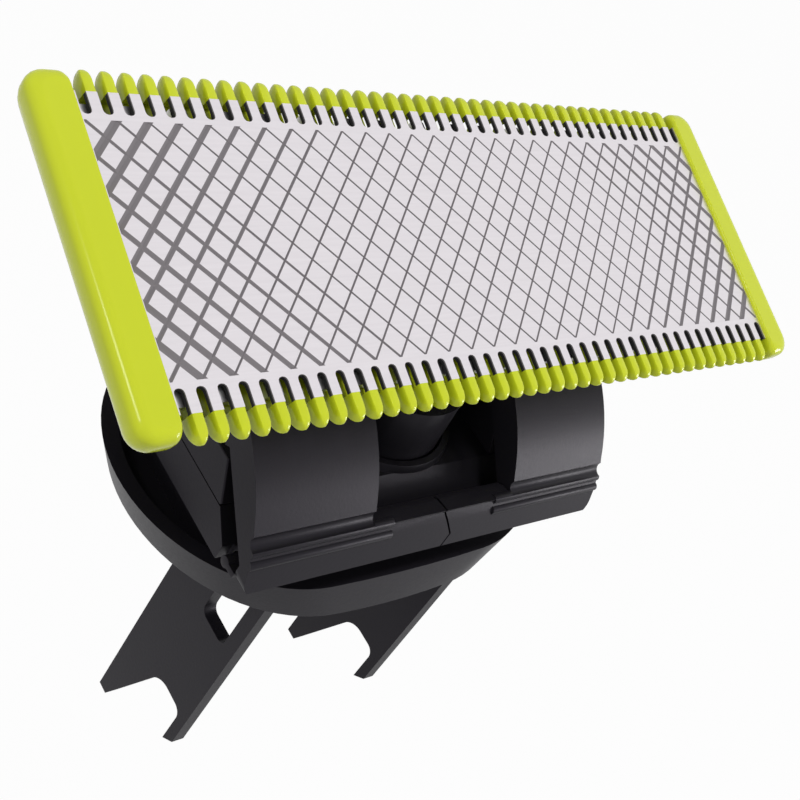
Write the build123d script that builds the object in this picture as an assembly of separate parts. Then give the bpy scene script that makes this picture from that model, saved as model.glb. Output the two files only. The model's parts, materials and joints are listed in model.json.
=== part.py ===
from build123d import *
import os
from math import atan2, cos, degrees, hypot, radians, sin, tan

# Toothed guard, in the blade's own frame: X along the teeth, Z out of the face
slot_count = 41
slot_pitch = 0.75
slot_width = 0.37
slot_root_y = 4.5
steel_edge_y = 5.3
tip_y = 6.2
tip_fall = 0.4
tip_drop = 0.25
tip_taper = 0.3
tip_width = 0.2
tip_undercut = 1.4
plate_thickness = 0.2
plate_tuck = 0.5
cutter_space = 0.42
wall_thickness = 0.6
wall_half_y = 4.3
rail_half_y = 6.1
rail_inner_x = 15.3
rail_width = 1.5
rail_rise = 0.15
rail_round = 0.35
rail_draft = 16
rail_end_round = 0.55
rail_pocket = 0.85

# Lattice engraved in the face
lattice_x_count = 27
lattice_y_count = 7
lattice_half_x = 15.2
lattice_half_y = 4.3
lattice_depth = 0.04
lattice_thin = 0.08
lattice_thick = 0.3
lattice_thin_reach = 9.0
lattice_thick_reach = 18.0

# Reciprocating cutter and its drive bridge
cutter_pitch = 1.77
cutter_teeth = 18
cutter_thickness = 0.3
cutter_clearance = 0.05
cutter_tip_gap = 0.3
cutter_half_y = 3.9
cutter_root_width = 0.9
cutter_tip_width = 0.62
cutter_stroke = 0.6
bridge_half_x = 2.4
bridge_half_y = 1.3
bridge_plate = 0.45
fork_gap = 2.5
fork_prong = 0.75
fork_half_y = 0.9
fork_reach = 5.4

# Swivel linkage: four links per side, seen along X
tilt = 18.3
face_height = 14.3
hinge_half_y = 4.9
hinge_height = 3.65
top_hinge_half_y = 1.35
top_hinge_depth = 2.8
foot_bead = 0.24
top_bead = 0.42
bead_clearance = 0.05
open_pivot_slack = 0.14
socket_mouth = 45
foot_mouth_up = 42
foot_mouth_down = 55
foot_nose = 0.48
foot_hollow = 0.62
foot_neck = 0.26
top_neck = 0.44
arm_overhang = 0.05
window_half_x = 3.8
ridge_start_x = 2.8
split_depth = 0.65
split_gap = 0.1
panel_thickness = 0.95
lip_reach = 1.4
lip_drop = 0.1
lip_corner = 0.7
ridge_radius = 0.2
groove_radius = 0.33

# Carrier under the guard
carrier_half_x = 9.3
carrier_half_y = 3.0
carrier_thickness = 0.65
carrier_window_x = 3.7
carrier_window_y = 2.1
socket_half_y = 2.2
socket_inner_x = 4.3
socket_outer_x = 9.1

# Base link and its stop blocks
link_half_x = 9.4
link_end_relief = 0.5
link_bottom = 3.2
link_top = 4.9
block_inner_x = 4.4
block_foot_y = 3.4
block_crown_y = 2.6
block_height = 1.7
block_chamfer = 0.1

# Base cup, drive tube and clip legs
cup_foot_half_x = 9.55
cup_rim_half_x = 10.5
cup_foot_half_y = 7.0
cup_rim_half_y = 6.75
cup_shift_y = 0.6
cup_blunt = 0.1
cup_height = 1.9
cup_wall = 0.7
cup_floor = 0.9
pedestal_half_x = 8.2
pedestal_half_y = 3.5
tube_bore = 2.2
tube_top = 7.7
tube_foot_radius = 3.4
tube_crown_radius = 2.95
tube_clearance = 0.1
tube_ring_width = 0.35
tube_ring_height = 0.35
tube_ring_draft = 15
leg_spread = 11.1
leg_thickness = 0.6
leg_rear_y = -0.1
leg_front_y = -5.2
leg_rear_length = 13.55
leg_front_length = 10.9
prong_tip = 0.6
prong_bevel = 0.5
notch_rear_y = -2.75
notch_front_y = -4.65
notch_crown = 8.8
notch_rear_round = 1.1
notch_front_round = 0.45
leg_window_rear_y = -2.7
leg_window_front_y = -4.5
leg_window_top = 0.7
leg_window_bottom = 3.9
leg_window_round = 0.4

# Worked out from the sizes above
tooth_width = slot_pitch - slot_width
arm_half_x = link_half_x + arm_overhang
wall_top = -(plate_thickness + cutter_space)
wall_bottom = wall_top - wall_thickness
carrier_bottom = wall_bottom - carrier_thickness
cutter_top = -(plate_thickness + cutter_clearance)
cutter_bottom = cutter_top - cutter_thickness
slots_x = [(index - (slot_count - 1) / 2) * slot_pitch for index in range(slot_count)]
teeth_x = [x + slot_pitch / 2 for x in slots_x[:-1]]


def turned(y, z, angle):
    turn = radians(angle)
    return y * cos(turn) - z * sin(turn), y * sin(turn) + z * cos(turn)


# The blade leans forward against the stop; both arms have the same length, which sets the face's offset
front_top = turned(-top_hinge_half_y, -top_hinge_depth, tilt)
rear_top = turned(top_hinge_half_y, -top_hinge_depth, tilt)
rise = hinge_height - face_height
front_run = front_top[0] + hinge_half_y
rear_run = rear_top[0] - hinge_half_y
face_offset = -(
    front_run**2 - rear_run**2 + (front_top[1] - rise) ** 2 - (rear_top[1] - rise) ** 2
) / (2 * (front_run - rear_run))
front_lean = degrees(atan2(front_run + face_offset, front_top[1] - rise))
rear_lean = degrees(atan2(-rear_run - face_offset, rear_top[1] - rise))
arm_length = hypot(front_run + face_offset, front_top[1] - rise)
arm_swing = front_lean - rear_lean
on_face = Pos(0, face_offset, face_height) * Rot(tilt, 0, 0)


def block(x0, x1, y0, y1, z0, z1):
    return Pos((x0 + x1) / 2, (y0 + y1) / 2, (z0 + z1) / 2) * Box(x1 - x0, y1 - y0, z1 - z0)


def along_x(profile, x0, x1):
    return extrude(Plane.YZ.offset(x0) * profile, x1 - x0)


def polygon(*points):
    return make_face(Polyline(*points, close=True))


def both_rows(shape):
    return [shape, mirror(shape, about=Plane.XZ)]


def slot_tool(x):
    half = slot_width / 2
    return block(x - half, x + half, slot_root_y, tip_y, -2 * plate_thickness, plate_thickness)


def lattice_grooves():
    cell_x = 2 * lattice_half_x / lattice_x_count
    cell_y = 2 * lattice_half_y / lattice_y_count
    lean = atan2(cell_y, cell_x)
    run = lattice_half_y / tan(lean)
    half_x, half_y = lattice_half_x, lattice_half_y
    field = block(-half_x, half_x, -half_y, half_y, -lattice_depth, lattice_depth)
    grooves = []
    for index in range(1 - lattice_y_count, lattice_x_count):
        middle = index * cell_x - lattice_half_x + run
        swell = (abs(middle) - lattice_thin_reach) / (lattice_thick_reach - lattice_thin_reach)
        width = lattice_thin + (lattice_thick - lattice_thin) * min(max(swell, 0), 1)
        vee = polygon((0, -lattice_depth), (width, lattice_depth), (-width, lattice_depth))
        across = Plane((middle, 0, 0), x_dir=(-sin(lean), cos(lean), 0), z_dir=(cos(lean), sin(lean), 0))
        groove = extrude(across * vee, 2 * lattice_half_y, both=True) & field
        grooves += both_rows(groove)
    return grooves


def guard_plate():
    half_x = rail_inner_x + plate_tuck
    plate = block(-half_x, half_x, -steel_edge_y, steel_edge_y, -plate_thickness, 0)
    slots = [tool for x in slots_x for tool in both_rows(slot_tool(x))]
    return plate - slots - lattice_grooves()


def tooth():
    side = polygon(
        (slot_root_y, wall_bottom),
        (slot_root_y, wall_top),
        (steel_edge_y, wall_top),
        (steel_edge_y, 0),
        (tip_y - tip_fall, 0),
        (tip_y, -tip_drop),
        (tip_y - tip_undercut, wall_bottom),
    )
    half = tooth_width / 2
    plan = polygon(
        (-half, slot_root_y),
        (half, slot_root_y),
        (half, tip_y - tip_taper),
        (tip_width / 2, tip_y),
        (-tip_width / 2, tip_y),
        (-half, tip_y - tip_taper),
    )
    return along_x(side, -half, half) & extrude(Pos(0, 0, wall_bottom) * plan, -wall_bottom)


def rail(side):
    outline = Pos(rail_inner_x, 0) * Rectangle(
        rail_width, 2 * rail_half_y, align=(Align.MIN, Align.CENTER)
    )
    outline = fillet(outline.vertices().group_by(Axis.X)[-1], rail_end_round)
    height = rail_rise - wall_bottom
    bar = extrude(Pos(0, 0, rail_rise) * outline, height, dir=(0, 0, -1), taper=rail_draft)
    bar = fillet(bar.edges().group_by(Axis.Z)[-1].sort_by(Axis.X)[1:], rail_round)
    inside = rail_inner_x - rail_width
    pocket = block(
        inside, rail_inner_x + plate_tuck, -steel_edge_y, steel_edge_y, -plate_thickness, 0
    )
    run = block(
        inside,
        rail_inner_x + rail_pocket,
        -steel_edge_y,
        steel_edge_y,
        wall_top,
        -plate_thickness,
    )
    bar -= pocket + run
    return bar if side > 0 else mirror(bar, about=Plane.YZ)


def guard_frame():
    half_x = rail_inner_x + plate_tuck
    wall = block(-half_x, half_x, -wall_half_y, wall_half_y, wall_bottom, wall_top)
    spread = bridge_half_x + cutter_stroke + 2 * cutter_clearance
    wall -= block(-spread, spread, -carrier_window_y, carrier_window_y, 2 * wall_bottom, 0)
    seat = block(-half_x, half_x, wall_half_y, slot_root_y, wall_bottom, wall_top)
    one = tooth()
    teeth = [row for x in teeth_x for row in both_rows(Pos(x, 0, 0) * one)]
    return wall + both_rows(seat) + teeth + [rail(1), rail(-1)]


def cutter():
    reach = steel_edge_y - cutter_tip_gap
    half_x = (cutter_teeth - 1) / 2 * cutter_pitch + cutter_tip_width / 2
    comb = Rectangle(2 * half_x, 2 * cutter_half_y)
    for index in range(cutter_teeth):
        x = (index - (cutter_teeth - 1) / 2) * cutter_pitch
        root = min(cutter_root_width / 2, half_x - abs(x))
        tip = min(cutter_tip_width / 2, half_x - abs(x))
        finger = polygon((x - root, 0), (x + root, 0), (x + tip, reach), (x - tip, reach))
        comb += both_rows(finger)
    return extrude(Pos(0, 0, cutter_bottom) * comb, cutter_thickness)


def drive_bridge():
    plate = block(
        -bridge_half_x,
        bridge_half_x,
        -bridge_half_y,
        bridge_half_y,
        cutter_bottom - bridge_plate,
        cutter_bottom,
    )
    inner = fork_gap / 2
    outer = inner + fork_prong
    prong = block(inner, outer, -fork_half_y, fork_half_y, -fork_reach, cutter_bottom - bridge_plate)
    prong = chamfer(prong.faces().sort_by(Axis.Z)[0].edges().filter_by(Axis.Y), fork_prong / 4)
    return plate + prong + mirror(prong, about=Plane.YZ)


def socket_profile():
    sockets = polygon(
        (-socket_half_y, carrier_bottom),
        (socket_half_y, carrier_bottom),
        (socket_half_y, -top_hinge_depth),
        (top_hinge_half_y, -top_hinge_depth - foot_nose),
        (-top_hinge_half_y, -top_hinge_depth - foot_nose),
        (-socket_half_y, -top_hinge_depth),
    )
    reach = 3 * top_bead
    tight = top_bead + bead_clearance
    loose = tight + open_pivot_slack
    inward = radians(socket_mouth)
    for side, radius in ((-1, tight), (1, loose)):
        centre = (side * top_hinge_half_y, -top_hinge_depth)
        mouth = polygon(
            centre,
            (centre[0] - side * reach * sin(inward), centre[1] - reach * cos(inward)),
            (centre[0], centre[1] - 2 * reach),
            (centre[0] + side * 2 * reach, centre[1] - 2 * reach),
            (centre[0] + side * 2 * reach, centre[1]),
        )
        sockets -= Pos(*centre) * Circle(radius)
        sockets -= mouth
    return sockets


def blade_carrier():
    plate = block(
        -carrier_half_x, carrier_half_x, -carrier_half_y, carrier_half_y, carrier_bottom, wall_bottom
    )
    plate -= block(
        -carrier_window_x,
        carrier_window_x,
        -carrier_window_y,
        carrier_window_y,
        2 * carrier_bottom,
        0,
    )
    bar = along_x(socket_profile(), socket_inner_x, socket_outer_x)
    return plate + bar + mirror(bar, about=Plane.YZ)


# Arm sections are drawn from the foot hinge, as (Y, Z) offsets at rest
ridge_points = ((-1.02, 1.0), (-0.8, 1.42))
groove_point = (-0.78, 1.9)
panel_foot = (-0.36, 2.22)
panel_middle = (0.7, 3.58)
panel_top = (2.55, 5.02)
inner_foot = (0.11, 1.27)
inner_top = (3.0, 3.85)


def foot_profile():
    face = polygon(
        (-lip_reach, -lip_drop),
        ridge_points[0],
        ridge_points[1],
        (inner_foot[0] - panel_thickness, groove_point[1] - groove_radius),
        (inner_foot[0] - panel_thickness / 3, inner_foot[1] + ridge_radius),
        inner_foot,
        (-foot_hollow, foot_hollow),
        (-foot_hollow, foot_neck / 2),
        (0, foot_neck / 2),
        (0, -foot_neck / 2),
        (-foot_hollow, -foot_neck / 2),
        (-lip_reach + ridge_radius, -lip_drop - ridge_radius),
    )
    return face + Circle(foot_bead)


def ridge_profile():
    face = foot_profile()
    for y, z in ridge_points:
        face += Pos(y + ridge_radius / 2, z) * Circle(ridge_radius)
    return face


def panel_profile():
    lean = radians(front_lean)
    top = (arm_length * sin(lean), arm_length * cos(lean))
    side = (top_neck / 2 * cos(lean), -top_neck / 2 * sin(lean))
    back = panel_thickness * sin(lean)
    panel = make_face(
        ThreePointArc(panel_foot, panel_middle, panel_top)
        + Polyline(
            panel_top,
            inner_top,
            inner_foot,
            (inner_foot[0] - panel_thickness, groove_point[1] - groove_radius),
            panel_foot,
        )
    )
    root = (inner_top[0] - back, inner_top[1] - back)
    neck = polygon(
        (root[0] - side[0], root[1] - side[1]),
        (root[0] + side[0], root[1] + side[1]),
        (top[0] + side[0], top[1] + side[1]),
        (top[0] - side[0], top[1] - side[1]),
    )
    groove = Pos(*groove_point) * Circle(groove_radius)
    bead = Pos(*top) * Circle(top_bead)
    return ridge_profile() + panel - groove + neck + bead


def split_tool(side):
    clear = split_gap / 2
    far = arm_half_x
    middle = hinge_height + ridge_points[0][1] / 2 - lip_drop
    half = ridge_points[0][1]
    edge = side * clear
    outline = polygon(
        (edge, middle + half),
        (edge + split_depth, middle),
        (edge, middle - half),
        (edge, middle - far),
        (-side * far, middle - far),
        (-side * far, middle + far),
        (edge, middle + far),
    )
    return extrude(Plane.XZ * outline, far, both=True)


def lip_corner_tool():
    inner = arm_half_x - lip_corner
    bottom = -lip_drop - ridge_radius
    square = block(inner, arm_half_x, -2 * lip_reach, -foot_hollow, bottom, bottom + lip_corner)
    return square - Pos(inner, 0, bottom + lip_corner) * Rot(90, 0, 0) * Cylinder(lip_corner, 4 * lip_reach)


def front_arm(side):
    place = Pos(0, -hinge_half_y, hinge_height)
    bar = along_x(foot_profile(), -split_depth, ridge_start_x)
    ridges = along_x(ridge_profile(), ridge_start_x, window_half_x)
    panel = along_x(panel_profile(), window_half_x, arm_half_x)
    arm = bar + ridges + panel - lip_corner_tool()
    if side < 0:
        arm = mirror(arm, about=Plane.YZ)
    return place * arm - split_tool(side)


def rear_arm(side):
    hinge = Pos(0, hinge_half_y, hinge_height)
    swung = hinge * Rot(-arm_swing, 0, 0) * hinge.inverse()
    return swung * mirror(front_arm(side), about=Plane.XZ)


def base_link():
    bar = block(-link_half_x, link_half_x, -hinge_half_y, hinge_half_y, link_bottom, link_top)
    reach = 2 * foot_nose
    for side in (-1, 1):
        hinge = Pos(side * hinge_half_y, hinge_height)
        nose = hinge * Circle(foot_nose)
        relief = polygon(
            (side * block_foot_y, link_top),
            (side * (hinge_half_y - foot_nose), hinge_height + foot_bead),
            (side * (hinge_half_y + reach), hinge_height + foot_bead),
            (side * (hinge_half_y + reach), link_top + reach),
            (side * block_foot_y, link_top + reach),
        )
        mouth = polygon(
            (side * hinge_half_y, hinge_height),
            (side * (hinge_half_y + reach), hinge_height + reach * tan(radians(foot_mouth_up))),
            (side * (hinge_half_y + reach), hinge_height - reach * tan(radians(foot_mouth_down))),
        )
        bar -= along_x(relief, -link_half_x, link_half_x)
        bar += along_x(nose, -link_half_x, link_half_x)
        bar -= along_x(
            hinge * Circle(foot_bead + bead_clearance) + mouth, -link_half_x, link_half_x
        )
        corner = Pos(side * (hinge_half_y - foot_nose), link_bottom) * Rectangle(
            reach, reach, align=(Align.MIN if side > 0 else Align.MAX, Align.MIN)
        )
        bar -= along_x(corner, -link_half_x, link_end_relief - link_half_x)
        bar -= along_x(corner, link_half_x - link_end_relief, link_half_x)
    ring = tube_radius(link_top) + tube_clearance + tube_ring_width
    bar += Pos(0, 0, link_top) * extrude(Circle(ring), tube_ring_height, taper=tube_ring_draft)
    return bar - tube_cone(tube_clearance)


def stop_block(side):
    inner = block_inner_x
    profile = polygon(
        (-block_foot_y, link_top + block_chamfer),
        (-block_foot_y + block_chamfer, link_top),
        (block_foot_y - block_chamfer, link_top),
        (block_foot_y, link_top + block_chamfer),
        (block_crown_y, link_top + block_height),
        (-block_crown_y, link_top + block_height),
    )
    solid = along_x(profile, inner, link_half_x)
    return solid if side > 0 else mirror(solid, about=Plane.YZ)


def oval(half_x, half_y):
    end_radius = half_y - cup_blunt
    span = half_x - end_radius
    side_radius = (span**2 + half_y**2 - end_radius**2) / (2 * (half_y - end_radius))
    fall = side_radius - half_y
    scale = side_radius / hypot(span, fall)
    touch_x = span * scale
    touch_y = fall * scale - fall
    return make_face(
        ThreePointArc((-touch_x, touch_y), (0, half_y), (touch_x, touch_y))
        + ThreePointArc((touch_x, touch_y), (half_x, 0), (touch_x, -touch_y))
        + ThreePointArc((touch_x, -touch_y), (0, -half_y), (-touch_x, -touch_y))
        + ThreePointArc((-touch_x, -touch_y), (-half_x, 0), (-touch_x, touch_y))
    )


def tube_radius(z):
    return tube_foot_radius + (tube_crown_radius - tube_foot_radius) * z / tube_top


def tube_cone(clearance):
    foot = tube_foot_radius + clearance
    crown = tube_crown_radius + clearance
    return Pos(0, 0, tube_top / 2) * Cone(foot, crown, tube_top)


def clip_leg(side):
    leg = polygon(
        (leg_rear_y, cup_floor / 2),
        (leg_rear_y, -leg_rear_length),
        (leg_rear_y - prong_tip, -leg_rear_length),
        (notch_rear_y, -notch_crown),
        (notch_front_y, -notch_crown),
        (notch_front_y, -leg_front_length),
        (leg_front_y, -leg_front_length + prong_bevel),
        (leg_front_y, cup_floor / 2),
    )
    crown = leg.vertices().filter_by(lambda point: abs(point.Y + notch_crown) < prong_tip).sort_by(Axis.X)
    leg = fillet(crown[-1], notch_rear_round)
    crown = leg.vertices().filter_by(lambda point: abs(point.Y + notch_crown) < prong_tip).sort_by(Axis.X)
    leg = fillet(crown[0], notch_front_round)
    window = Pos(
        (leg_window_rear_y + leg_window_front_y) / 2, -(leg_window_top + leg_window_bottom) / 2
    ) * RectangleRounded(
        leg_window_rear_y - leg_window_front_y, leg_window_bottom - leg_window_top, leg_window_round
    )
    centre = side * leg_spread / 2
    return along_x(leg - window, centre - leg_thickness / 2, centre + leg_thickness / 2)


def cup_section(z, inset):
    share = z / cup_height
    half_x = cup_foot_half_x + (cup_rim_half_x - cup_foot_half_x) * share - inset
    half_y = cup_foot_half_y + (cup_rim_half_y - cup_foot_half_y) * share - inset
    return Pos(0, cup_shift_y, z) * oval(half_x, half_y)


def base_cup():
    cup = loft([cup_section(0, 0), cup_section(cup_height, 0)], ruled=True)
    cup -= loft([cup_section(cup_floor, cup_wall), cup_section(2 * cup_height, cup_wall)], ruled=True)
    cup += block(
        -pedestal_half_x, pedestal_half_x, -pedestal_half_y, pedestal_half_y, cup_floor, link_bottom
    )
    cup += tube_cone(0)
    cup += [clip_leg(-1), clip_leg(1)]
    return cup - Cylinder(tube_bore, 4 * tube_top)


nodes = {
    "guard_plate": on_face * guard_plate(),
    "guard_frame": on_face * guard_frame(),
    "cutter": on_face * cutter(),
    "drive_bridge": on_face * drive_bridge(),
    "blade_carrier": on_face * blade_carrier(),
    "front_arm_left": front_arm(-1),
    "front_arm_right": front_arm(1),
    "rear_arm_left": rear_arm(-1),
    "rear_arm_right": rear_arm(1),
    "base_link": base_link(),
    "stop_block_left": stop_block(-1),
    "stop_block_right": stop_block(1),
    "base_cup": base_cup(),
}

os.makedirs("parts", exist_ok=True)
for name, solid in nodes.items():
    export_step(solid, f"parts/{name}.step")

print("face offset", round(face_offset, 4), "arm length", round(arm_length, 4))
print("front lean", round(front_lean, 4), "rear lean", round(rear_lean, 4), "swing", round(arm_swing, 4))
print("top hinge", round(front_top[0] + face_offset, 4), round(front_top[1] + face_height, 4))
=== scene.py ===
import json
import math

import bmesh
import bpy
from mathutils import Matrix, Vector


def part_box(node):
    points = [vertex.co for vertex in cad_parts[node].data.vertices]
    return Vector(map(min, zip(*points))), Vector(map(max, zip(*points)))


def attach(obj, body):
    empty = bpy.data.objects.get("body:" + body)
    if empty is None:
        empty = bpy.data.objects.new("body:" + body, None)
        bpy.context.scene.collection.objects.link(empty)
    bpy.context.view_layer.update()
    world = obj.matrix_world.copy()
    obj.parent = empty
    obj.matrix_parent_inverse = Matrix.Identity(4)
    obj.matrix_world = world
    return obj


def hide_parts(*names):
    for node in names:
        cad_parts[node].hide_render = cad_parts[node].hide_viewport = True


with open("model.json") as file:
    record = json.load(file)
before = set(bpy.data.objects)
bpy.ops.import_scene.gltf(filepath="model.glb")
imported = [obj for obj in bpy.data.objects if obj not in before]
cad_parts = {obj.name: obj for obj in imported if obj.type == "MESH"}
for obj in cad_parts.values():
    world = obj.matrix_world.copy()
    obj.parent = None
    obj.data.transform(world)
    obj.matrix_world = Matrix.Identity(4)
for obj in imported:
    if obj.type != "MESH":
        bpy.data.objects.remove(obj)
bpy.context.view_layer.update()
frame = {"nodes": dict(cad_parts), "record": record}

mm = 0.001
nodes = frame["nodes"]
print("frame loaded,", len(nodes), "solids")


# camera at the photograph's place, solved from the blade's own rectangle
cameraSettings = {
    "place": (-35.877, -23.867, 37.928),  # mm
    "right": (0.72828558, -0.50710184, 0.46092065),
    "up": (0.10288454, 0.74589734, 0.65806682),
    "back": (-0.67750638, -0.43183896, 0.59539921),
    "focalPixels": 1322.62,
    "framePixels": 800,
    "sensor": 36.0,
    "reach": (1.0, 10000.0),
}


def makeCamera(s):
    data = bpy.data.cameras.new("camera")
    data.sensor_width = s["sensor"]
    data.lens = s["sensor"] * s["focalPixels"] / s["framePixels"]
    data.clip_start, data.clip_end = (end * mm for end in s["reach"])
    camera = bpy.data.objects.new("camera", data)
    bpy.context.scene.collection.objects.link(camera)
    turn = Matrix((s["right"], s["up"], s["back"])).transposed().to_4x4()
    camera.matrix_world = Matrix.Translation(Vector(s["place"]) * mm) @ turn
    bpy.context.scene.camera = camera


makeCamera(cameraSettings)
print("camera set")


# shader helpers
def newMaterial(name):
    material = bpy.data.materials.new(name)
    material.use_nodes = True
    tree = material.node_tree
    return material, tree, tree.nodes["Principled BSDF"]


def addNode(tree, kind, **settings):
    node = tree.nodes.new(kind)
    for key, value in settings.items():
        setattr(node, key, value)
    return node


def noise(tree, vector, scale, detail=2.0, rough=0.5):
    node = addNode(tree, "ShaderNodeTexNoise")
    node.inputs["Scale"].default_value = scale
    node.inputs["Detail"].default_value = detail
    node.inputs["Roughness"].default_value = rough
    tree.links.new(vector, node.inputs["Vector"])
    return node.outputs["Fac"]


def spread(tree, value, low, high, fromLow=0.0, fromHigh=1.0):
    node = addNode(tree, "ShaderNodeMapRange")
    node.inputs["From Min"].default_value = fromLow
    node.inputs["From Max"].default_value = fromHigh
    node.inputs["To Min"].default_value = low
    node.inputs["To Max"].default_value = high
    tree.links.new(value, node.inputs["Value"])
    return node.outputs["Result"]


def mixColour(tree, factor, first, second):
    node = addNode(tree, "ShaderNodeMix", data_type="RGBA")
    tree.links.new(factor, node.inputs[0])
    for socket, value in ((node.inputs[6], first), (node.inputs[7], second)):
        if isinstance(value, tuple):
            socket.default_value = (*value, 1.0)
        else:
            tree.links.new(value, socket)
    return node.outputs[2]


def bump(tree, shader, height, distance, strength):
    node = addNode(tree, "ShaderNodeBump")
    node.inputs["Distance"].default_value = distance
    node.inputs["Strength"].default_value = strength
    tree.links.new(height, node.inputs["Height"])
    tree.links.new(node.outputs["Normal"], shader.inputs["Normal"])


def objectPoint(tree, scale=(1, 1, 1), turn=(0, 0, 0), move=(0, 0, 0)):
    point = addNode(tree, "ShaderNodeTexCoord")
    mapping = addNode(tree, "ShaderNodeMapping", vector_type="POINT")
    mapping.inputs["Location"].default_value = move
    mapping.inputs["Rotation"].default_value = turn
    mapping.inputs["Scale"].default_value = scale
    tree.links.new(point.outputs["Object"], mapping.inputs["Vector"])
    return mapping.outputs["Vector"]


# the blade's own frame: its face leans forward about X
face = {
    "tilt": 18.3,  # degrees
    "offset": 0.0571 * mm,
    "height": 14.3 * mm,
}
faceTurn = math.radians(face["tilt"])
faceMatrix = Matrix.Translation((0, face["offset"], face["height"])) @ Matrix.Rotation(faceTurn, 4, "X")


def facePoint(tree):
    back = faceMatrix.inverted()
    return objectPoint(tree, turn=back.to_euler(), move=back.to_translation())


plasticIor = 1.5
lime = {
    "colour": (0.595, 0.665, 0.024),
    "deep": (0.545, 0.62, 0.018),
    "cloudScale": 160.0,  # per metre
    "roughness": (0.15, 0.21),
    "shine": 0.25,
    "grainScale": 9000.0,
    "grainDepth": 0.004 * mm,
    "grainStrength": 0.15,
    "glow": 0.05,
    "glowColour": (0.9, 1.0, 0.2),
    "glowDepth": 0.3 * mm,
}


def limePlastic(s):
    material, tree, shader = newMaterial("limePlastic")
    point = objectPoint(tree)
    cloud = noise(tree, point, s["cloudScale"])
    tree.links.new(mixColour(tree, cloud, s["colour"], s["deep"]), shader.inputs["Base Color"])
    tree.links.new(spread(tree, cloud, *s["roughness"]), shader.inputs["Roughness"])
    shader.inputs["IOR"].default_value = plasticIor
    shader.inputs["Specular IOR Level"].default_value = s["shine"]
    shader.inputs["Subsurface Weight"].default_value = s["glow"]
    shader.inputs["Subsurface Radius"].default_value = s["glowColour"]
    shader.inputs["Subsurface Scale"].default_value = s["glowDepth"]
    bump(tree, shader, noise(tree, point, s["grainScale"]), s["grainDepth"], s["grainStrength"])
    return material


black = {
    "colour": (0.0088, 0.008, 0.0105),
    "pale": (0.0128, 0.0118, 0.0148),
    "cloudScale": 220.0,
    "roughness": (0.34, 0.46),
    "shine": 0.135,
    "shineColour": (0.93, 0.86, 1.0),
    "grainScale": 7000.0,
    "grainDepth": 0.012 * mm,
    "grainStrength": 0.3,
}


def blackPlastic(s):
    material, tree, shader = newMaterial("blackPlastic")
    point = objectPoint(tree)
    cloud = noise(tree, point, s["cloudScale"], detail=3.0)
    grain = noise(tree, point, s["grainScale"], detail=3.0, rough=0.6)
    tree.links.new(mixColour(tree, cloud, s["colour"], s["pale"]), shader.inputs["Base Color"])
    tree.links.new(spread(tree, grain, *s["roughness"]), shader.inputs["Roughness"])
    shader.inputs["IOR"].default_value = plasticIor
    shader.inputs["Specular IOR Level"].default_value = s["shine"]
    shader.inputs["Specular Tint"].default_value = (*s["shineColour"], 1.0)
    bump(tree, shader, grain, s["grainDepth"], s["grainStrength"])
    return material


steel = {
    "bright": (0.8, 0.765, 0.795),
    "dull": (0.7, 0.665, 0.695),
    # painted shade: a dark grey laid into the engraved grooves so they read dark whatever the light
    "groove": (0.19, 0.175, 0.185),
    "grooveStart": 0.001 * mm,
    "grooveFull": 0.003 * mm,
    "grooveRoughness": 0.85,
    # painted shade: near black on the slot walls, below groove depth, where the plate and teeth shade them
    "edge": (0.01, 0.0095, 0.0105),
    "slotShadeStart": 0.05 * mm,
    "slotShadeFull": 0.07 * mm,
    "brushScale": (350.0, 9000.0, 900.0),
    "brushDepth": 0.002 * mm,
    "brushStrength": 0.2,
    "roughness": (0.3, 0.42),
}


# brushed face steel, with painted shade in the grooves and on the slot walls
def faceSteel(s):
    material, tree, shader = newMaterial("faceSteel")
    point = facePoint(tree)
    parts = addNode(tree, "ShaderNodeSeparateXYZ")
    tree.links.new(point, parts.inputs["Vector"])
    # the dark grey in the engraved grooves is painted shade; the grooves are also matte and not metallic
    groove = spread(tree, parts.outputs["Z"], 1.0, 0.0, -s["grooveFull"], -s["grooveStart"])
    stretch = addNode(tree, "ShaderNodeVectorMath", operation="MULTIPLY")
    stretch.inputs[1].default_value = s["brushScale"]
    tree.links.new(point, stretch.inputs[0])
    brushed = noise(tree, stretch.outputs["Vector"], 1.0, detail=3.0)
    plain = mixColour(tree, brushed, s["dull"], s["bright"])
    # painted shade: the plate's slot walls, deeper than the grooves, turn near black
    edge = spread(tree, parts.outputs["Z"], 1.0, 0.0, -s["slotShadeFull"], -s["slotShadeStart"])
    grooveShaded = mixColour(tree, groove, plain, s["groove"])
    tree.links.new(mixColour(tree, edge, grooveShaded, s["edge"]), shader.inputs["Base Color"])
    tree.links.new(spread(tree, groove, 1.0, 0.0), shader.inputs["Metallic"])
    shine = spread(tree, brushed, *s["roughness"])
    dullGroove = addNode(tree, "ShaderNodeMath", operation="MAXIMUM")
    tree.links.new(shine, dullGroove.inputs[0])
    tree.links.new(spread(tree, groove, 0.0, s["grooveRoughness"]), dullGroove.inputs[1])
    tree.links.new(dullGroove.outputs[0], shader.inputs["Roughness"])
    bump(tree, shader, brushed, s["brushDepth"], s["brushStrength"])
    return material


ground = {
    "bright": (0.7, 0.69, 0.69),
    "dull": (0.5, 0.49, 0.5),
    "brushScale": (6000.0, 500.0, 900.0),
    "roughness": (0.25, 0.4),
}


def cutterSteel(s):
    material, tree, shader = newMaterial("cutterSteel")
    point = objectPoint(tree, scale=s["brushScale"])
    brushed = noise(tree, point, 1.0, detail=3.0)
    tree.links.new(mixColour(tree, brushed, s["dull"], s["bright"]), shader.inputs["Base Color"])
    tree.links.new(spread(tree, brushed, *s["roughness"]), shader.inputs["Roughness"])
    shader.inputs["Metallic"].default_value = 1.0
    return material


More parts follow.
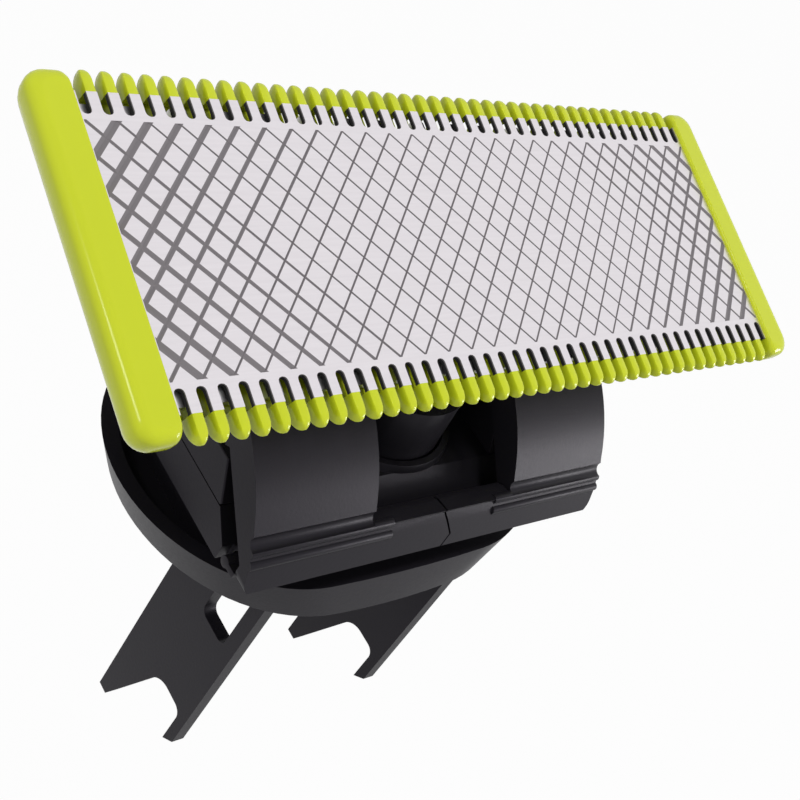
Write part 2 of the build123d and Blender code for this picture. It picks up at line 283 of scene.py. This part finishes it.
finishes = {
    "lime_plastic": limePlastic(lime),
    "black_plastic": blackPlastic(black),
    "face_steel": faceSteel(steel),
    "cutter_steel": cutterSteel(ground),
}
slotOf = {row["node"]: row["material_slot"] for row in frame["record"]["subparts"]}
bodies = frame["record"]["behaviour"]["bodies"]
bodyOf = {node: body for body, members in bodies.items() for node in members}
print("materials made")


# shared mesh helpers, all sizes in mm
def newPiece(name, work):
    mesh = bpy.data.meshes.new(name)
    bmesh.ops.recalc_face_normals(work, faces=work.faces)
    work.to_mesh(mesh)
    work.free()
    mesh.transform(Matrix.Scale(mm, 4))
    piece = bpy.data.objects.new(name, mesh)
    bpy.context.scene.collection.objects.link(piece)
    return piece


def settle(piece):
    solved = piece.evaluated_get(bpy.context.evaluated_depsgraph_get())
    mesh = bpy.data.meshes.new_from_object(solved)
    piece.modifiers.clear()
    piece.data = mesh
    return piece


def dress(piece, material, sharpAngle):
    mesh = piece.data
    mesh.materials.clear()
    mesh.materials.append(material)
    mesh.shade_smooth()
    mesh.set_sharp_from_angle(angle=math.radians(sharpAngle))


def handOver(piece, node):
    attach(piece, bodyOf[node])
    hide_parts(node)


def prism(work, outline, place, low, high):
    rings = [[work.verts.new(place(a, b, level)) for a, b in outline] for level in (low, high)]
    work.faces.new(rings[0])
    work.faces.new(rings[1])
    for index in range(len(outline)):
        after = (index + 1) % len(outline)
        work.faces.new((rings[0][index], rings[0][after], rings[1][after], rings[1][index]))


def boxPiece(name, low, high):
    work = bmesh.new()
    outline = ((low[0], low[1]), (high[0], low[1]), (high[0], high[1]), (low[0], high[1]))
    prism(work, outline, lambda a, b, level: (a, b, level), low[2], high[2])
    return newPiece(name, work)


def combine(piece, other, operation):
    cut = piece.modifiers.new("combine", "BOOLEAN")
    cut.solver = "EXACT"
    cut.operation = operation
    cut.object = other
    settle(piece)
    bpy.data.objects.remove(other)


# lime guard: two rounded rails on a wall, with forty rounded teeth along each edge
guard = {
    "railInner": 15.26,
    "railOuter": 16.72,
    "railHalf": 6.08,
    "railTop": 0.15,
    "railRound": 0.42,
    "railWaist": 1.3,  # in rounds under the top
    "railCrown": 0.1,
    "railFoot": 0.29,
    "railTurn": 55.0,  # degrees
    "railInnerRound": 0.08,
    "railOuterCorner": 0.7,
    "railInnerCorner": 0.32,
    "railSteps": 6,
    "cornerSteps": 6,
    "wallTop": -0.62,
    "wallBottom": -1.22,
    "wallEnd": 15.8,
    "wallHalf": 4.5,
    "window": (3.1, 2.1),
    "plateBottom": -0.2,
    "plateEnd": 15.8,
    "cutterEnd": 16.15,
    "steelEdge": 5.3,
    "toothCount": 40,
    "toothPitch": 0.75,
    "toothHalf": 0.19,
    "toothTip": 6.2,
    "tipDrop": 0.25,
    "tipShare": 0.3,
    "undercut": 1.4,
    "noseDepth": 0.68,
    "noseFall": 0.4,
    "noseTaper": 0.5,
    "noseRound": 0.05,
    "noseSteps": 9,
    "noseCornerSteps": 2,
    "noseWeld": 0.0005,
    "sharpAngle": 40.0,
}


def loft(work, rings):
    rows = [[work.verts.new(point) for point in ring] for ring in rings]
    for low, high in zip(rows, rows[1:]):
        for index in range(len(low)):
            after = (index + 1) % len(low)
            work.faces.new((low[index], low[after], high[after], high[index]))
    work.faces.new(rows[0])
    work.faces.new(rows[-1])


def roundedRing(corners, steps):
    points = []
    for number, (a, b, radius) in enumerate(corners):
        for step in range(steps + 1):
            turn = math.radians(180 + 90 * (number + step / steps))
            points.append((a + radius * math.cos(turn), b + radius * math.sin(turn)))
    return points


def railRing(s, inset, innerInset):
    low, high = s["railInner"] + innerInset, s["railOuter"] - inset
    half = s["railHalf"] - inset
    inner = s["railInnerCorner"]
    outer = s["railOuterCorner"] - inset / 2
    corners = (
        (low + inner, inner - half, inner),
        (high - outer, outer - half, outer),
        (high - outer, half - outer, outer),
        (low + inner, half - inner, inner),
    )
    return roundedRing(corners, s["cornerSteps"])


def guardRail(s, side):
    top, radius = s["railTop"], s["railRound"]
    end = math.radians(s["railTurn"])
    waist = top - radius * s["railWaist"]
    levels = []
    for step in range(s["railSteps"]):
        turn = end * (1 - step / s["railSteps"])
        foot = s["railFoot"] * (1 - math.cos(turn)) / (1 - math.cos(end))
        levels.append((foot, foot, waist - (waist - s["wallBottom"]) * math.sin(turn) / math.sin(end)))
    levels.append((0, 0, waist))
    for step in range(s["railSteps"] + 1):
        turn = math.pi / 2 * step / s["railSteps"]
        rim = s["railInnerRound"] * (1 - math.cos(turn))
        levels.append((radius * (1 - math.cos(turn)), rim, top - radius * (1 - math.sin(turn))))
    crown = radius * s["railCrown"]
    levels.append((radius + crown, s["railInnerRound"] + crown, top))
    rings = []
    for inset, innerInset, level in levels:
        rings.append([(side * a, b, level) for a, b in railRing(s, inset, innerInset)])
    work = bmesh.new()
    loft(work, rings)
    return newPiece("rail", work)


def railPocket(s, side):
    near = s["railInner"] - s["toothPitch"]
    outline = (
        (near, 0),
        (s["plateEnd"], 0),
        (s["plateEnd"], s["plateBottom"]),
        (s["cutterEnd"], s["plateBottom"]),
        (s["cutterEnd"], s["wallTop"]),
        (near, s["wallTop"]),
    )
    work = bmesh.new()
    prism(work, outline, lambda a, b, level: (side * a, level, b), -s["steelEdge"], s["steelEdge"])
    return newPiece("pocket", work)


def guardBody(s):
    low = (-s["wallEnd"], -s["wallHalf"], s["wallBottom"])
    high = (s["wallEnd"], s["wallHalf"], s["wallTop"])
    body = boxPiece("guard_frame_moulded", low, high)
    for side in (-1, 1):
        combine(body, guardRail(s, side), "UNION")
        combine(body, railPocket(s, side), "DIFFERENCE")
    halfX, halfY = s["window"]
    hole = boxPiece("window", (-halfX, -halfY, 2 * s["wallBottom"]), (halfX, halfY, 0))
    combine(body, hole, "DIFFERENCE")
    return body


def underside(s, y):
    past = min(1, max(0, (y - s["steelEdge"]) / (s["toothTip"] - s["steelEdge"])))
    return -s["tipDrop"] - (s["noseDepth"] - s["tipDrop"]) * math.sqrt(1 - past**2)


def noseRing(s, y):
    past = max(0, 1 + (y - s["toothTip"]) / s["noseTaper"])
    half = s["toothHalf"] * math.sqrt(1 - (1 - s["tipShare"] ** 2) * past**2)
    over = max(0, 1 + (y - s["toothTip"]) / s["noseFall"])
    top = s["tipDrop"] * (math.sqrt(1 - over**2) - 1)
    bottom = min(underside(s, y), top) - s["noseRound"] / 2
    radius = min(s["noseRound"], half, (top - bottom) / 2)
    low, high = bottom + radius, top - radius
    corners = ((radius - half, low, radius), (half - radius, low, radius))
    corners += ((half - radius, high, radius), (radius - half, high, radius))
    return [(a, y, b) for a, b in roundedRing(corners, s["noseCornerSteps"])]


def guardTooth(s):
    root, edge = s["wallHalf"], s["steelEdge"] + s["noseRound"]
    outline = (
        (root, s["wallBottom"]),
        (s["toothTip"] - s["undercut"], s["wallBottom"]),
        (edge, underside(s, edge)),
        (edge, s["wallTop"]),
        (root, s["wallTop"]),
    )
    work = bmesh.new()
    prism(work, outline, lambda a, b, level: (level, a, b), -s["toothHalf"], s["toothHalf"])
    rings = []
    for step in range(s["noseSteps"] + 1):
        share = math.sin(math.pi / 2 * step / s["noseSteps"])
        rings.append(noseRing(s, s["steelEdge"] + (s["toothTip"] - s["steelEdge"]) * share))
    loft(work, rings)
    bmesh.ops.remove_doubles(work, verts=work.verts, dist=s["noseWeld"])
    return newPiece("tooth", work)


def toothRows():
    tree = bpy.data.node_groups.new("toothRows", "GeometryNodeTree")
    panel = tree.interface
    panel.new_socket("Geometry", in_out="INPUT", socket_type="NodeSocketGeometry")
    sockets = {
        "tooth": panel.new_socket("Tooth", in_out="INPUT", socket_type="NodeSocketObject").identifier,
        "count": panel.new_socket("Count", in_out="INPUT", socket_type="NodeSocketInt").identifier,
        "pitch": panel.new_socket("Pitch", in_out="INPUT", socket_type="NodeSocketFloat").identifier,
        "material": panel.new_socket("Material", in_out="INPUT", socket_type="NodeSocketMaterial").identifier,
    }
    panel.new_socket("Geometry", in_out="OUTPUT", socket_type="NodeSocketGeometry")
    link = tree.links.new
    given = addNode(tree, "NodeGroupInput")
    less = addNode(tree, "ShaderNodeMath", operation="SUBTRACT")
    less.inputs[1].default_value = 1.0
    link(given.outputs["Count"], less.inputs[0])
    length = addNode(tree, "ShaderNodeMath", operation="MULTIPLY")
    link(less.outputs[0], length.inputs[0])
    link(given.outputs["Pitch"], length.inputs[1])
    back = addNode(tree, "ShaderNodeMath", operation="MULTIPLY")
    back.inputs[1].default_value = -0.5
    link(length.outputs[0], back.inputs[0])
    start = addNode(tree, "ShaderNodeCombineXYZ")
    link(back.outputs[0], start.inputs["X"])
    step = addNode(tree, "ShaderNodeCombineXYZ")
    link(given.outputs["Pitch"], step.inputs["X"])
    line = addNode(tree, "GeometryNodeMeshLine", mode="OFFSET")
    link(given.outputs["Count"], line.inputs["Count"])
    link(start.outputs[0], line.inputs["Start Location"])
    link(step.outputs[0], line.inputs["Offset"])
    shape = addNode(tree, "GeometryNodeObjectInfo")
    link(given.outputs["Tooth"], shape.inputs["Object"])
    row = addNode(tree, "GeometryNodeInstanceOnPoints")
    link(line.outputs["Mesh"], row.inputs["Points"])
    link(shape.outputs["Geometry"], row.inputs["Instance"])
    across = addNode(tree, "GeometryNodeTransform")
    across.inputs["Rotation"].default_value = (0, 0, math.pi)
    link(row.outputs["Instances"], across.inputs["Geometry"])
    joined = addNode(tree, "GeometryNodeJoinGeometry")
    link(given.outputs["Geometry"], joined.inputs["Geometry"])
    link(row.outputs["Instances"], joined.inputs["Geometry"])
    link(across.outputs["Geometry"], joined.inputs["Geometry"])
    real = addNode(tree, "GeometryNodeRealizeInstances")
    link(joined.outputs["Geometry"], real.inputs["Geometry"])
    painted = addNode(tree, "GeometryNodeSetMaterial")
    link(real.outputs["Geometry"], painted.inputs["Geometry"])
    link(given.outputs["Material"], painted.inputs["Material"])
    result = addNode(tree, "NodeGroupOutput")
    link(painted.outputs["Geometry"], result.inputs["Geometry"])
    return tree, sockets


def makeGuard(s, material):
    body = guardBody(s)
    tooth = guardTooth(s)
    tree, sockets = toothRows()
    rows = body.modifiers.new("toothRows", "NODES")
    rows.node_group = tree
    rows[sockets["tooth"]] = tooth
    rows[sockets["count"]] = s["toothCount"]
    rows[sockets["pitch"]] = s["toothPitch"] * mm
    rows[sockets["material"]] = material
    settle(body)
    bpy.data.objects.remove(tooth)
    body.data.transform(faceMatrix)
    dress(body, material, s["sharpAngle"])
    handOver(body, "guard_frame")


makeGuard(guard, finishes["lime_plastic"])
print("guard made")


# moulded edges: each other piece keeps its form and gets its small edge radius
chosenEdges = {
    "armEnd": 9.3 * mm,
    "cupFootTop": 0.02 * mm,
    "cupFootOval": (9.0 * mm, 6.6 * mm),  # inside this lie the legs and the bore
    "cupShift": 0.6 * mm,
    "slotRoot": 4.5 * mm,
    "near": 0.01 * mm,
}


def armEnd(a, b):
    return min(abs(a.x), abs(b.x)) > chosenEdges["armEnd"]


def cupFoot(a, b):
    halfX, halfY = chosenEdges["cupFootOval"]
    shift = chosenEdges["cupShift"]
    low = max(a.z, b.z) < chosenEdges["cupFootTop"]
    return low and all((p.x / halfX) ** 2 + ((p.y - shift) / halfY) ** 2 > 1 for p in (a, b))


def slotCorner(a, b):
    near = chosenEdges["near"]
    first, second = (faceMatrix.inverted() @ point for point in (a, b))
    upright = abs(first.x - second.x) < near and abs(first.y - second.y) < near
    return upright and abs(abs(first.y) - chosenEdges["slotRoot"]) < near


linkFin = ((8.9, 4.6, 3.1), (9.5, 5.2, 3.3))  # mm, a thin fin beside each end relief
moulded = {
    "base_cup": {"radius": 0.4, "share": 0.2, "full": cupFoot},
    "base_link": {"radius": 0.06, "trim": linkFin},
    "stop_block_left": {"radius": 0.1},
    "stop_block_right": {"radius": 0.1},
    "front_arm_left": {"radius": 0.3, "share": 0.3, "full": armEnd},
    "front_arm_right": {"radius": 0.3, "share": 0.3, "full": armEnd},
    "rear_arm_left": {"radius": 0.3, "share": 0.3, "full": armEnd},
    "rear_arm_right": {"radius": 0.3, "share": 0.3, "full": armEnd},
    "blade_carrier": {"radius": 0.06},
    "drive_bridge": {"radius": 0.06},
    "guard_plate": {"radius": 0.16, "share": 0.0, "full": slotCorner, "sharpAngle": 0.05},
}
mouldSettings = {
    "segments": 3,
    "sharpAngle": 32.0,  # degrees
    "flatAngle": 0.6,
    "weld": 0.0005,  # mm
    "sliver": 0.00001,
}


def softEdges(name, piece, s):
    mesh = nodes[name].data.copy()
    mesh.name = name + "_moulded"
    work = bmesh.new()
    work.from_mesh(mesh)
    bmesh.ops.remove_doubles(work, verts=work.verts, dist=s["weld"] * mm)
    bmesh.ops.dissolve_limit(
        work, angle_limit=math.radians(s["flatAngle"]), verts=work.verts, edges=work.edges
    )
    weight = work.edges.layers.float.new("bevel_weight_edge")
    for edge in work.edges:
        if len(edge.link_faces) == 2 and edge.calc_face_angle() > math.radians(s["sharpAngle"]):
            isFull = "full" not in piece or piece["full"](*(vert.co for vert in edge.verts))
            edge[weight] = 1.0 if isFull else piece["share"]
    work.to_mesh(mesh)
    work.free()
    result = bpy.data.objects.new(name + "_moulded", mesh)
    bpy.context.scene.collection.objects.link(result)
    bevel = result.modifiers.new("edgeRadius", "BEVEL")
    bevel.width = piece["radius"] * mm
    bevel.segments = s["segments"]
    bevel.limit_method = "WEIGHT"
    bevel.use_clamp_overlap = True
    return result


def trimCorners(piece, low, high):
    for sideX in (-1, 1):
        for sideY in (-1, 1):
            sides = (sideX, sideY, 1)
            ends = [sorted((side * a, side * b)) for side, a, b in zip(sides, low, high)]
            corner = boxPiece("corner", *zip(*ends))
            combine(piece, corner, "DIFFERENCE")


def closeSlivers(piece, size):
    work = bmesh.new()
    work.from_mesh(piece.data)
    bmesh.ops.dissolve_degenerate(work, dist=size * mm, edges=work.edges)
    work.to_mesh(piece.data)
    work.free()


def flatFaces(piece):
    weighted = piece.modifiers.new("flatFaces", "WEIGHTED_NORMAL")
    weighted.keep_sharp = True
    settle(piece)


for name, piece in moulded.items():
    result = settle(softEdges(name, piece, mouldSettings))
    if "trim" in piece:
        trimCorners(result, *piece["trim"])
    closeSlivers(result, mouldSettings["sliver"])
    dress(result, finishes[slotOf[name]], piece.get("sharpAngle", mouldSettings["sharpAngle"]))
    flatFaces(result)
    handOver(result, name)
print("moulded pieces made")

cutterMesh = nodes["cutter"].data
cutterMesh.materials.clear()
cutterMesh.materials.append(finishes[slotOf["cutter"]])
print("cutter finished")


# plain pale floor and soft studio light
studio = {
    "floorDrop": 60.0,  # mm under the legs
    "floorHalf": 4000.0,
    "floorColour": (0.45, 0.45, 0.45),
    "floorRoughness": 0.9,
    "whiteShare": 0.97,
    "worldStrength": 0.25,
    "lamps": (
        {"name": "keyLamp", "place": (10, -62, 285), "size": 50, "power": 0.39, "inGloss": False},
        {"name": "leftLamp", "place": (-190, 0, 195), "size": 60, "power": 0.12, "inGloss": True},
        {"name": "sideLamp", "place": (-230, -60, 40), "size": 100, "power": 0.13, "inGloss": False},
        {"name": "rightLamp", "place": (190, -150, 30), "size": 90, "power": 0.27, "inGloss": True},
    ),
}


def whiteToView(tree, shaderOutput, share, whiteKind, target):
    path = addNode(tree, "ShaderNodeLightPath")
    seen = addNode(tree, "ShaderNodeMath", operation="ADD", use_clamp=True)
    tree.links.new(path.outputs["Is Camera Ray"], seen.inputs[0])
    tree.links.new(path.outputs["Is Glossy Ray"], seen.inputs[1])
    through = addNode(tree, "ShaderNodeMath", operation="ADD", use_clamp=True)
    tree.links.new(seen.outputs[0], through.inputs[0])
    tree.links.new(path.outputs["Is Transmission Ray"], through.inputs[1])
    part = addNode(tree, "ShaderNodeMath", operation="MULTIPLY")
    part.inputs[1].default_value = share
    tree.links.new(through.outputs[0], part.inputs[0])
    white = addNode(tree, whiteKind)
    white.inputs["Color"].default_value = (1, 1, 1, 1)
    mix = addNode(tree, "ShaderNodeMixShader")
    tree.links.new(part.outputs[0], mix.inputs[0])
    tree.links.new(shaderOutput, mix.inputs[1])
    tree.links.new(white.outputs[0], mix.inputs[2])
    tree.links.new(mix.outputs[0], target.inputs["Surface"])


def makeFloor(s):
    low = min(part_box(name)[0].z for name in nodes) - s["floorDrop"] * mm
    half = s["floorHalf"] * mm
    mesh = bpy.data.meshes.new("floor")
    corners = [(-half, -half, low), (half, -half, low), (half, half, low), (-half, half, low)]
    mesh.from_pydata(corners, [], [(0, 1, 2, 3)])
    floor = bpy.data.objects.new("floor", mesh)
    bpy.context.scene.collection.objects.link(floor)
    material, tree, shader = newMaterial("paleFloor")
    shader.inputs["Base Color"].default_value = (*s["floorColour"], 1.0)
    shader.inputs["Roughness"].default_value = s["floorRoughness"]
    target = tree.nodes["Material Output"]
    whiteToView(tree, shader.outputs["BSDF"], s["whiteShare"], "ShaderNodeEmission", target)
    mesh.materials.append(material)


def makeWorld(s):
    world = bpy.data.worlds.new("studio")
    bpy.context.scene.world = world
    world.use_nodes = True
    tree = world.node_tree
    ambient = tree.nodes["Background"]
    ambient.inputs["Color"].default_value = (1, 1, 1, 1)
    ambient.inputs["Strength"].default_value = s["worldStrength"]
    whiteToView(tree, ambient.outputs[0], 1.0, "ShaderNodeBackground", tree.nodes["World Output"])


def makeLamp(s):
    data = bpy.data.lights.new(s["name"], "AREA")
    data.shape = "DISK"
    data.size = s["size"] * mm
    data.energy = s["power"]
    lamp = bpy.data.objects.new(s["name"], data)
    bpy.context.scene.collection.objects.link(lamp)
    lamp.visible_glossy = s["inGloss"]  # False where the steel would mirror the lamp and clip
    lamp.location = Vector(s["place"]) * mm
    aim = Vector((0, 0, face["height"] / 2)) - lamp.location
    lamp.rotation_euler = aim.to_track_quat("-Z", "Y").to_euler()


makeFloor(studio)
makeWorld(studio)
for lampSettings in studio["lamps"]:
    makeLamp(lampSettings)
bpy.context.scene.view_settings.view_transform = "Standard"
print("studio set")
